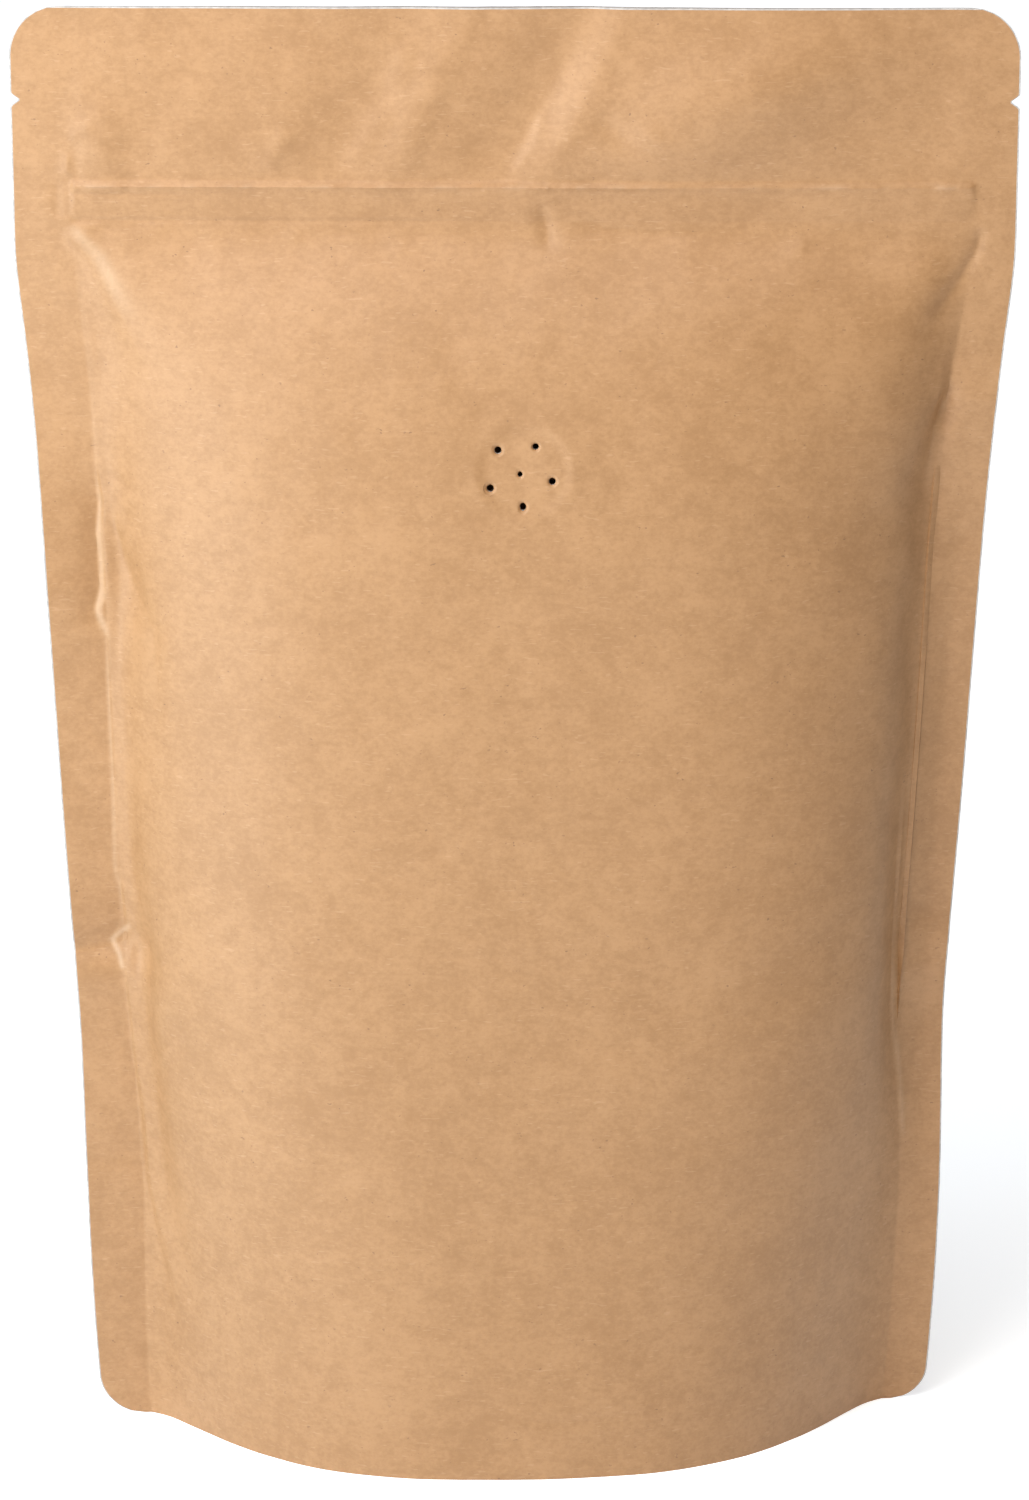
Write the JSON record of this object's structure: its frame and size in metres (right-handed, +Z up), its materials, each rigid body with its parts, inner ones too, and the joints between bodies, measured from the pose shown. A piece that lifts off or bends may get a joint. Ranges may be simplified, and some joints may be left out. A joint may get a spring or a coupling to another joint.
{
  "type": "stand-up kraft food pouch",
  "caption": "Filled stand-up pouch of kraft paper laminate with side seals, a press-to-close zip, tear notches, a gusseted base and a degassing valve.",
  "frame": {"origin": "on the floor, under the middle of the pouch", "axes": "+Z up, front panel with the valve towards -Y, +X to the right as seen from the front"},
  "size_m": [0.1998, 0.0776, 0.2982],
  "materials": {
    "kraft": "matte",
    "valve": "matte"
  },
  "bodies": {
    "root": {"pouch": "kraft", "valve": "valve"}
  },
  "joints": []
}
